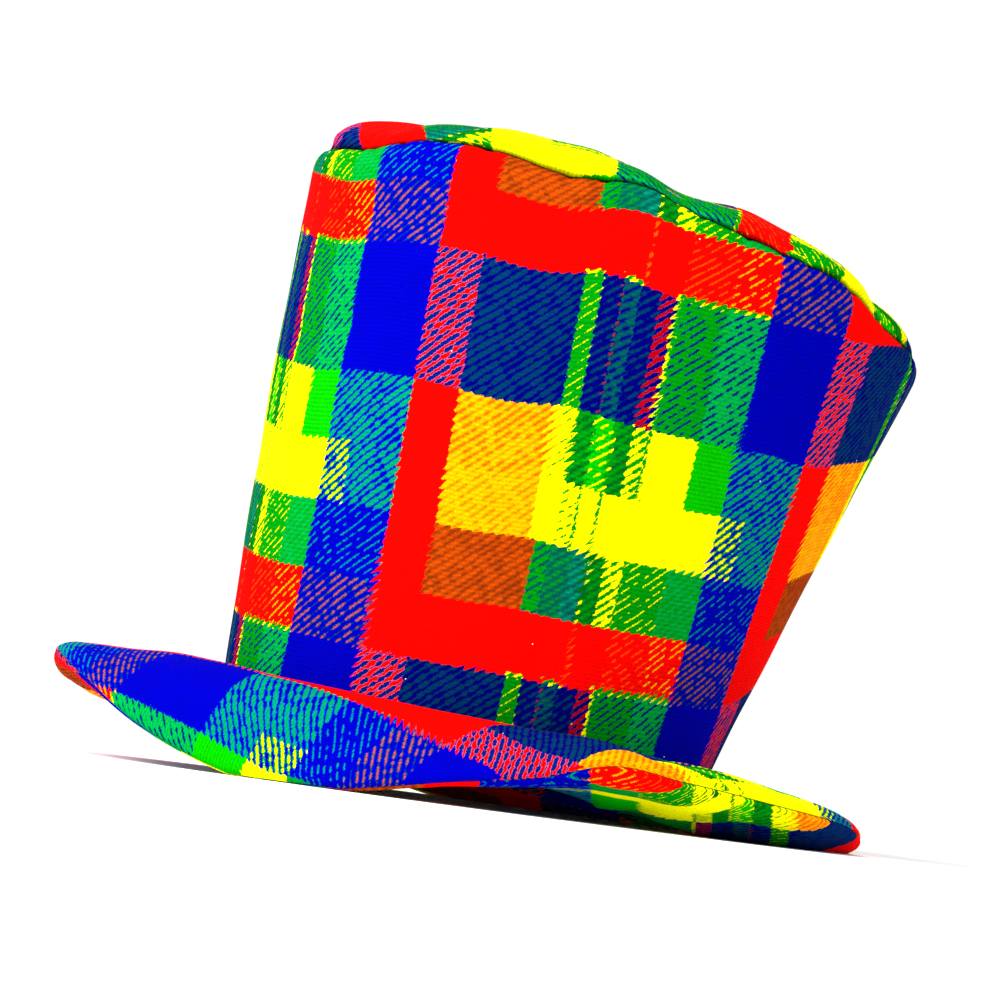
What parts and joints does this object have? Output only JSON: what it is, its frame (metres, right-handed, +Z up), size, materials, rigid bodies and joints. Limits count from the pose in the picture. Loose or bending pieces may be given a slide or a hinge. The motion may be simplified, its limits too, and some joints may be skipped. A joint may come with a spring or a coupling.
{
  "type": "clown top hat",
  "caption": "Soft padded top hat in bright checked plush, with a flared leaning crown, a puffed tip, a wide drooping brim and a dark lining.",
  "frame": {"origin": "middle of the hat's box, on the surface that it rests on", "axes": "+Z up, -Y the front, +X the side that the crown leans to, as seen from the front the right"},
  "size_m": [0.338, 0.3352, 0.271],
  "materials": {
    "checked_plush": "short-pile plush printed with a bright red, blue, yellow and green check, matt with a soft sheen",
    "lining_cloth": "thin black lining cloth, matt"
  },
  "bodies": {
    "root": {"crown_wall": "checked_plush", "crown_tip": "checked_plush", "brim_top": "checked_plush", "brim_underside": "checked_plush", "crown_lining": "lining_cloth"}
  },
  "joints": []
}
